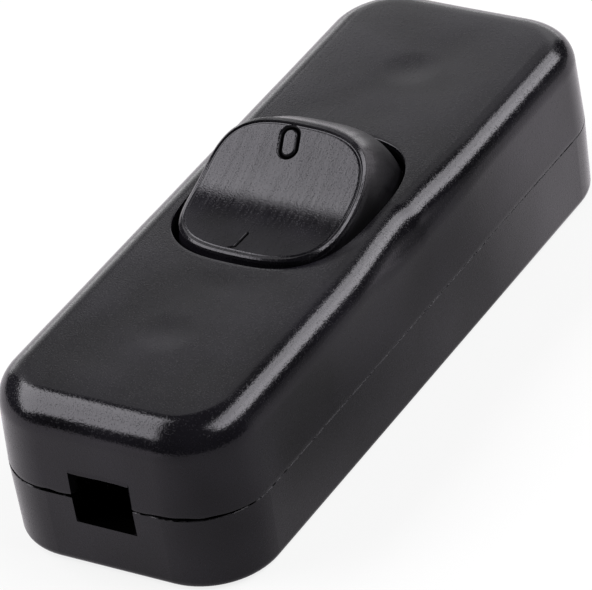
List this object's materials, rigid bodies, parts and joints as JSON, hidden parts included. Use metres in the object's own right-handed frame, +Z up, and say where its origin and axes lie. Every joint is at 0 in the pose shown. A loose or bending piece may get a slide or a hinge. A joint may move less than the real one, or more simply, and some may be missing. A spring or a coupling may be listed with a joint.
{
  "type": "inline cord switch",
  "caption": "Inline cord switch: rounded two-part plastic housing split at mid-height, dished rocker tilting in its top, a cord inlet at each end, see-saw contacts and cord clamps inside.",
  "frame": {"origin": "centre of the underside", "axes": "+Y along the cord from the front end to the rear end, +Z up through the rocker, +X to the right seen from the front"},
  "size_m": [0.0254, 0.07, 0.0221],
  "materials": {
    "housing_plastic": "black moulded plastic, satin",
    "rocker_plastic": "black moulded plastic, satin with fine drawn marks",
    "plunger_plastic": "natural white moulded plastic",
    "clamp_plastic": "black moulded plastic",
    "brass": "stamped brass",
    "silver_contact": "silver-faced rivet",
    "spring_steel": "drawn spring wire",
    "plated_steel": "zinc-plated steel"
  },
  "bodies": {
    "housing": {"upper_housing": "housing_plastic", "lower_housing": "housing_plastic", "left_supply_terminal": "brass", "left_load_terminal": "brass", "left_fixed_contact": "silver_contact", "right_supply_terminal": "brass", "right_load_terminal": "brass", "right_fixed_contact": "silver_contact", "terminal_screws": "plated_steel", "front_cord_clamp": "clamp_plastic", "rear_cord_clamp": "clamp_plastic", "clamp_screws": "plated_steel", "housing_screws": "plated_steel"},
    "rocker": {"rocker": "rocker_plastic", "left_plunger_spring": "spring_steel", "right_plunger_spring": "spring_steel"},
    "left_plunger": {"left_plunger": "plunger_plastic"},
    "left_lever": {"left_contact_lever": "brass", "left_moving_contact": "silver_contact"},
    "right_plunger": {"right_plunger": "plunger_plastic"},
    "right_lever": {"right_contact_lever": "brass", "right_moving_contact": "silver_contact"}
  },
  "joints": [
    {"name": "rocker_tilt", "type": "hinge", "parent": "housing", "child": "rocker", "pos_m": [0, 0, 0.0112], "axis": [-1, 0, 0], "range_deg": [0, 42]},
    {"name": "left_plunger_slide", "type": "slide", "parent": "rocker", "child": "left_plunger", "axis": [0, -0.3584, 0.9336], "range_m": [0, 0.0008], "stiffness_N_per_m": 600, "springref_m": -0.002, "deforming": ["left_plunger_spring"]},
    {"name": "left_lever_swing", "type": "hinge", "parent": "housing", "child": "left_lever", "pos_m": [-0.0042, 0, 0.00355], "axis": [-1, 0, 0], "range_deg": [-20, 0]},
    {"name": "right_plunger_slide", "type": "slide", "parent": "rocker", "child": "right_plunger", "axis": [0, -0.3584, 0.9336], "range_m": [0, 0.0008], "stiffness_N_per_m": 600, "springref_m": -0.002, "deforming": ["right_plunger_spring"]},
    {"name": "right_lever_swing", "type": "hinge", "parent": "housing", "child": "right_lever", "pos_m": [0.0042, 0, 0.00355], "axis": [-1, 0, 0], "range_deg": [-20, 0]}
  ],
  "couplings": [
    {"joint": "left_lever_swing", "follows": "rocker_tilt", "ratio": -0.476},
    {"joint": "right_lever_swing", "follows": "rocker_tilt", "ratio": -0.476}
  ]
}
